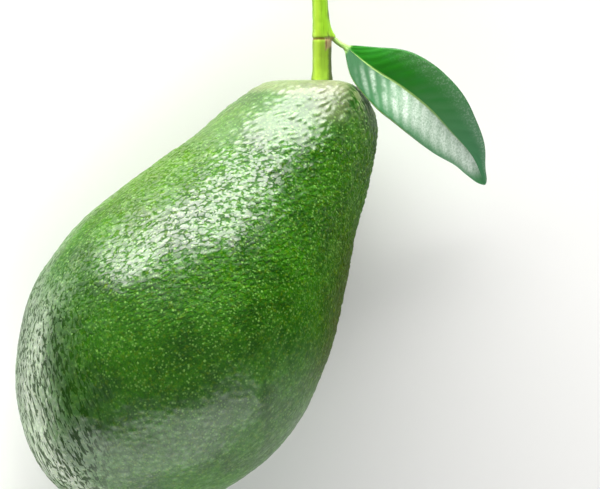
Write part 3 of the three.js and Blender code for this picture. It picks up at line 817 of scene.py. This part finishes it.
class AVOCADO_OT_add_leaf(bpy.types.Operator):
    """Adds the leaf, with its petiole, midrib, veins and waved blade"""

    bl_idname = "avocado.add_leaf"
    bl_label = "Add leaf"

    def execute(self, context):
        look = context.scene.avocado_leaf
        thickness = look.thickness / MM
        across = 56
        count = 2 * (across + 1)
        bm = bmesh.new()
        layers = {name: bm.verts.layers.float.new(name) for name in ("share", "side", "top")}

        def section_side(number):
            """Which side value a point of the section has, and whether it is on the upper face."""
            upper = number <= across
            step = number if upper else 2 * across + 1 - number
            even = 2.0 * step / across - 1.0
            return 0.45 * even + 0.55 * even ** 3, even, upper

        def petiole_ring(share_along):
            centre = spline(PETIOLE, share_along)
            ahead = (spline(PETIOLE, share_along + 0.02) - spline(PETIOLE, share_along - 0.02)).normalized()
            outwards = Vector((-ahead.y, ahead.x, 0.0)).normalized()
            over = ahead.cross(outwards)
            over = over if over.z > 0 else -over

            def at(share):
                side, even, upper = section_side(round(share * count))
                lift = math.cos(even * math.pi / 2) * (1 if upper else -1)
                return SPRIG @ (centre + outwards * (PETIOLE_RADIUS * math.sin(even * math.pi / 2))
                                + over * (PETIOLE_RADIUS * lift))
            return at

        def blade_ring(share_along):
            grown = smoothstep(share_along, 0.0, 0.025)
            radius = PETIOLE_RADIUS + (RIB_TIP_RADIUS - PETIOLE_RADIUS) * share_along ** 0.8

            def at(share):
                side, even, upper = section_side(round(share * count))
                side = math.sin(even * math.pi / 2) * (1 - grown) + side * grown
                here = blade_point(share_along, side)
                step = 0.01
                along = blade_point(share_along + step, side) - blade_point(share_along - step, side)
                aside = blade_point(share_along, side + step) - blade_point(share_along, side - step)
                normal = aside.cross(along).normalized()
                normal = normal if normal.z > 0 else -normal
                far = half_width(share_along, side) * abs(side)
                rib = math.sqrt(max(0.0, radius * radius - far * far))
                away = abs(side)
                turn = (share_along - VEIN_SWEEP * away ** 1.25) * VEINS + (0.45 if side < 0 else 0.0)
                ridge = abs(math.sin(math.pi * turn))
                body = smoothstep(away, 0.03, 0.25) * (1.0 - smoothstep(away, 0.85, 1.0))
                quilt = (0.05 if side > 0 else 0.13) * (ridge - 0.5) * body
                quilt *= math.sin(math.pi * min(1.0, share_along * 1.02)) ** 0.5
                thin = thickness * (1.0 - 0.65 * smoothstep(away, 0.8, 1.0))
                if upper:
                    flat = max(0.0, rib - RIB_SINK)
                    offset = (rib - RIB_SINK) * (1 - grown) + flat * grown + quilt * grown
                else:
                    flat = -thin if rib == 0.0 else min(-thin, -RIB_SINK - rib)
                    offset = (-RIB_SINK - rib) * (1 - grown) + (flat + quilt) * grown
                return SPRIG @ (here + normal * offset)
            return at

        petiole = [petiole_ring(step / 10) for step in range(10)]
        stations = 170
        shares = [step / stations for step in range(stations + 1)]
        blade = [blade_ring(share) for share in shares]
        points = tube(bm, petiole + blade, count)
        number = bm.verts.layers.int["number"]
        all_shares = [-1.0 + step / 10 for step in range(10)] + shares
        for index, vertex in enumerate(points):
            side, even, upper = section_side(vertex[number])
            vertex[layers["share"]] = all_shares[index // count]
            vertex[layers["side"]] = side
            vertex[layers["top"]] = 1.0 if upper else 0.0
        bmesh.ops.remove_doubles(bm, verts=bm.verts, dist=0.0005)
        mesh_object("avocado_leaf", bm, leaf_finish(look), "leaf")
        return {"FINISHED"}


# The picture: its width in millimetres at the height of the outline, and the point in its middle
PICTURE_WIDTH = 141.4
PICTURE_MIDDLE = Vector((27.43, -12.04, 32.0))
LENS, SENSOR = 900.0, 36.0


def aim(item, place, target):
    """Stands a light at a place and turns it towards a target, both in metres."""
    item.location = place
    item.rotation_mode = "QUATERNION"
    item.rotation_quaternion = (Vector(target) - Vector(place)).to_track_quat("-Z", "Y")


def softbox(name, power, size, turn, height, distance, target, spread=180.0):
    """A large soft light. Turn is from the picture's upward direction to its left, in degrees."""
    light = bpy.data.lights.new(name, "AREA")
    light.shape = "RECTANGLE"
    light.spread = math.radians(spread)
    light.size, light.size_y = size
    light.energy = power
    item = bpy.data.objects.new(name, light)
    bpy.context.scene.collection.objects.link(item)
    item.visible_camera = False
    heading, rise = CROWN_TURN + math.radians(turn), math.radians(height)
    away = Vector((math.cos(heading) * math.cos(rise), math.sin(heading) * math.cos(rise), math.sin(rise)))
    aim(item, Vector(target) + away * distance, target)
    return item


class AVOCADO_OT_add_stage(bpy.types.Operator):
    """Adds the pale floor, the soft lights and the camera above"""

    bl_idname = "avocado.add_stage"
    bl_label = "Add stage"

    def execute(self, context):
        look = context.scene.avocado_stage
        scene = context.scene
        scene.view_settings.view_transform = "Standard"
        scene.view_settings.look = "None"
        scene.view_settings.exposure = 0.0
        scene.view_settings.gamma = 1.0

        bm = bmesh.new()
        bmesh.ops.create_circle(bm, cap_ends=True, segments=96, radius=6.0)
        mesh = bpy.data.meshes.new("studio_floor")
        bm.to_mesh(mesh)
        bm.free()
        floor = bpy.data.objects.new("studio_floor", mesh)
        scene.collection.objects.link(floor)
        pale = Finish("studio_floor", Roughness=0.9)
        pale.shader.inputs["Base Color"].default_value = (0.92, 0.92, 0.92, 1.0)
        pale.shader.inputs["Specular IOR Level"].default_value = 0.1
        mesh.materials.append(pale.material)

        world = bpy.data.worlds.new("studio_room")
        world.use_nodes = True
        world.node_tree.nodes["Background"].inputs["Color"].default_value = (1.0, 1.0, 1.0, 1.0)
        world.node_tree.nodes["Background"].inputs["Strength"].default_value = look.room
        scene.world = world

        middle = (0.027, 0.0, 0.025)
        key = softbox("key_light", look.key, (1.24, 0.44), 3.0, 17.0, 0.75, middle)
        key.data.color = (1.0, 0.99, 0.95)
        softbox("fill_light", look.fill, (3.6, 1.0), 180.0, 22.0, 1.2, middle)
        for name, power, turn, start, reach, height, spread in (
                ("floor_light_left", 0.38, 112.0, (-0.044, 0.012, 0.0), 0.19, 50.0, 80.0),
                ("floor_light_rim", 0.035, 100.0, (-0.040, 0.022, 0.0), 0.07, 85.0, 36.0),
                ("floor_light_far", 0.02, 41.0, (0.017, 0.029, 0.0), 0.07, 85.0, 36.0)):
            heading = CROWN_TURN + math.radians(turn)
            patch = Vector(start) + Vector((math.cos(heading), math.sin(heading), 0.0)) * reach
            light = softbox(name, look.floor * power, (0.16 + reach, reach * 0.65), turn + 180.0, height, 0.2,
                            patch, spread)
            light.data.color = (1.0, 0.99, 0.9)

        lens = bpy.data.cameras.new("camera")
        lens.lens, lens.sensor_width = LENS, SENSOR
        lens.clip_start, lens.clip_end = 0.05, 20.0
        camera = bpy.data.objects.new("camera", lens)
        scene.collection.objects.link(camera)
        distance = PICTURE_WIDTH * LENS / SENSOR
        camera.location = (PICTURE_MIDDLE + UP * distance) * MM
        camera.rotation_euler = (0.0, 0.0, CROWN_TURN - math.pi / 2)
        scene.camera = camera
        return {"FINISHED"}


class AVOCADO_PT_parts(bpy.types.Panel):
    """Lists the avocado's pieces and its stage"""

    bl_label = "Avocado"
    bl_idname = "AVOCADO_PT_parts"
    bl_space_type = "VIEW_3D"
    bl_region_type = "UI"
    bl_category = "Avocado"

    def draw(self, context):
        for operator, settings in PARTS:
            self.layout.operator(operator.bl_idname)
            group = getattr(context.scene, settings)
            for name in group.__annotations__:
                self.layout.prop(group, name)


PARTS = (
    (AVOCADO_OT_add_stage, "avocado_stage"),
    (AVOCADO_OT_add_fruit, "avocado_fruit"),
    (AVOCADO_OT_add_stalk, "avocado_stalk"),
    (AVOCADO_OT_add_leaf, "avocado_leaf"),
)
SETTINGS = {
    "avocado_stage": AvocadoStageSettings,
    "avocado_fruit": AvocadoFruitSettings,
    "avocado_stalk": AvocadoStalkSettings,
    "avocado_leaf": AvocadoLeafSettings,
}


def register():
    for name, group in SETTINGS.items():
        bpy.utils.register_class(group)
        setattr(bpy.types.Scene, name, bpy.props.PointerProperty(type=group))
    for operator, settings in PARTS:
        bpy.utils.register_class(operator)
    bpy.utils.register_class(AVOCADO_PT_parts)


def unregister():
    bpy.utils.unregister_class(AVOCADO_PT_parts)
    for operator, settings in reversed(PARTS):
        bpy.utils.unregister_class(operator)
    for name, group in SETTINGS.items():
        delattr(bpy.types.Scene, name)
        bpy.utils.unregister_class(group)


def main():
    """Builds the stage and every piece."""
    register()
    bpy.ops.avocado.add_stage()
    bpy.ops.avocado.add_fruit()
    bpy.ops.avocado.add_stalk()
    bpy.ops.avocado.add_leaf()


if __name__ == "__main__":
    main()
